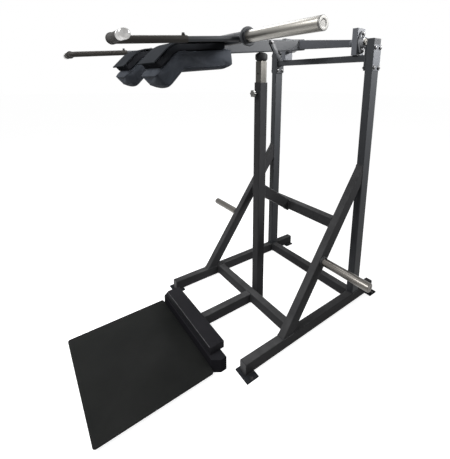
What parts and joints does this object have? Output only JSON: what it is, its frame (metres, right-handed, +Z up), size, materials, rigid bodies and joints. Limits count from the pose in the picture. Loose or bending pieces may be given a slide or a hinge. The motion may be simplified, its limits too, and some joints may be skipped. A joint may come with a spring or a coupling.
{
  "type": "viking press machine",
  "caption": "Plate-loaded standing press with a hinged lever, shoulder pads, sliding handles, weight horns, an adjustable stop and a foot platform.",
  "frame": {"origin": "on the floor, under the middle of the machine's length and width", "axes": "+Z up; +X to the right of a user who stands on the platform facing the uprights; +Y from the platform towards the uprights"},
  "size_m": [1.64, 1.877, 1.845],
  "materials": {
    "powder_coat": "satin",
    "sleeve_steel": "polished",
    "zinc": "satin",
    "rubber": "matte",
    "vinyl": "satin",
    "plastic": "matte",
    "iron": "satin"
  },
  "bodies": {
    "frame": {"rail_left": "powder_coat", "rail_right": "powder_coat", "rail_cap_front_left": "plastic", "rail_cap_front_right": "plastic", "rail_cap_rear_left": "plastic", "rail_cap_rear_right": "plastic", "foot_front_left": "powder_coat", "foot_front_right": "powder_coat", "foot_rear_left": "powder_coat", "foot_rear_right": "powder_coat", "front_cross_member": "powder_coat", "rear_cross_member": "powder_coat", "centre_rail": "powder_coat", "platform_plate": "powder_coat", "platform_mat": "rubber", "toe_block_base": "powder_coat", "toe_block_tread": "rubber", "upright_left": "powder_coat", "upright_right": "powder_coat", "upright_cap_left": "plastic", "upright_cap_right": "plastic", "brace_left": "powder_coat", "brace_right": "powder_coat", "brace_cross_member": "powder_coat", "post_strut": "powder_coat", "stop_post": "powder_coat", "top_crossbar": "powder_coat", "crossbar_clamp_left": "powder_coat", "crossbar_clamp_right": "powder_coat", "pivot_post_left": "powder_coat", "pivot_post_right": "powder_coat", "bearing_left": "iron", "bearing_right": "iron", "storage_horn_left": "sleeve_steel", "storage_horn_right": "sleeve_steel"},
    "stop": {"stop_inner_tube": "zinc", "stop_bumper": "rubber"},
    "pin": {"pull_pin": "sleeve_steel"},
    "lever": {"lever_beam": "powder_coat", "lever_arm_left": "powder_coat", "lever_arm_right": "powder_coat", "lever_cross_tube": "powder_coat", "handle_stub_left": "powder_coat", "handle_stub_right": "powder_coat", "weight_horn_left": "sleeve_steel", "weight_horn_right": "sleeve_steel", "weight_horn_cap_left": "sleeve_steel", "weight_horn_cap_right": "sleeve_steel", "pad_bracket_left": "powder_coat", "pad_bracket_right": "powder_coat", "shoulder_pad_left": "vinyl", "shoulder_pad_right": "vinyl"},
    "grip_arm_left": {"handle_left": "powder_coat", "grip_left": "rubber", "grip_cap_left": "sleeve_steel"},
    "grip_arm_right": {"handle_right": "powder_coat", "grip_right": "rubber", "grip_cap_right": "sleeve_steel"},
    "latch": {"latch_hook": "powder_coat"}
  },
  "joints": [
    {"name": "lever_swing", "type": "hinge", "parent": "frame", "child": "lever", "pos_m": [0, 0.7245, 1.762], "axis": [-1, 0, 0], "range_deg": [0, 40]},
    {"name": "stop_height", "type": "slide", "parent": "frame", "child": "stop", "axis": [0, 0, 1], "range_m": [-0.12, 0]},
    {"name": "pin_pull", "type": "slide", "parent": "frame", "child": "pin", "axis": [0, -1, 0], "range_m": [0, 0.012], "stiffness_N_per_m": 600, "springref_m": -0.004},
    {"name": "handle_reach_left", "type": "slide", "parent": "lever", "child": "grip_arm_left", "axis": [0, -0.9954, -0.0955], "range_m": [-0.1, 0.05]},
    {"name": "handle_reach_right", "type": "slide", "parent": "lever", "child": "grip_arm_right", "axis": [0, -0.9954, -0.0955], "range_m": [-0.1, 0.05]},
    {"name": "latch_swing", "type": "hinge", "parent": "lever", "child": "latch", "pos_m": [0.0253, 0.2624, 1.7518], "axis": [1, 0, 0], "range_deg": [-25, 60]}
  ]
}
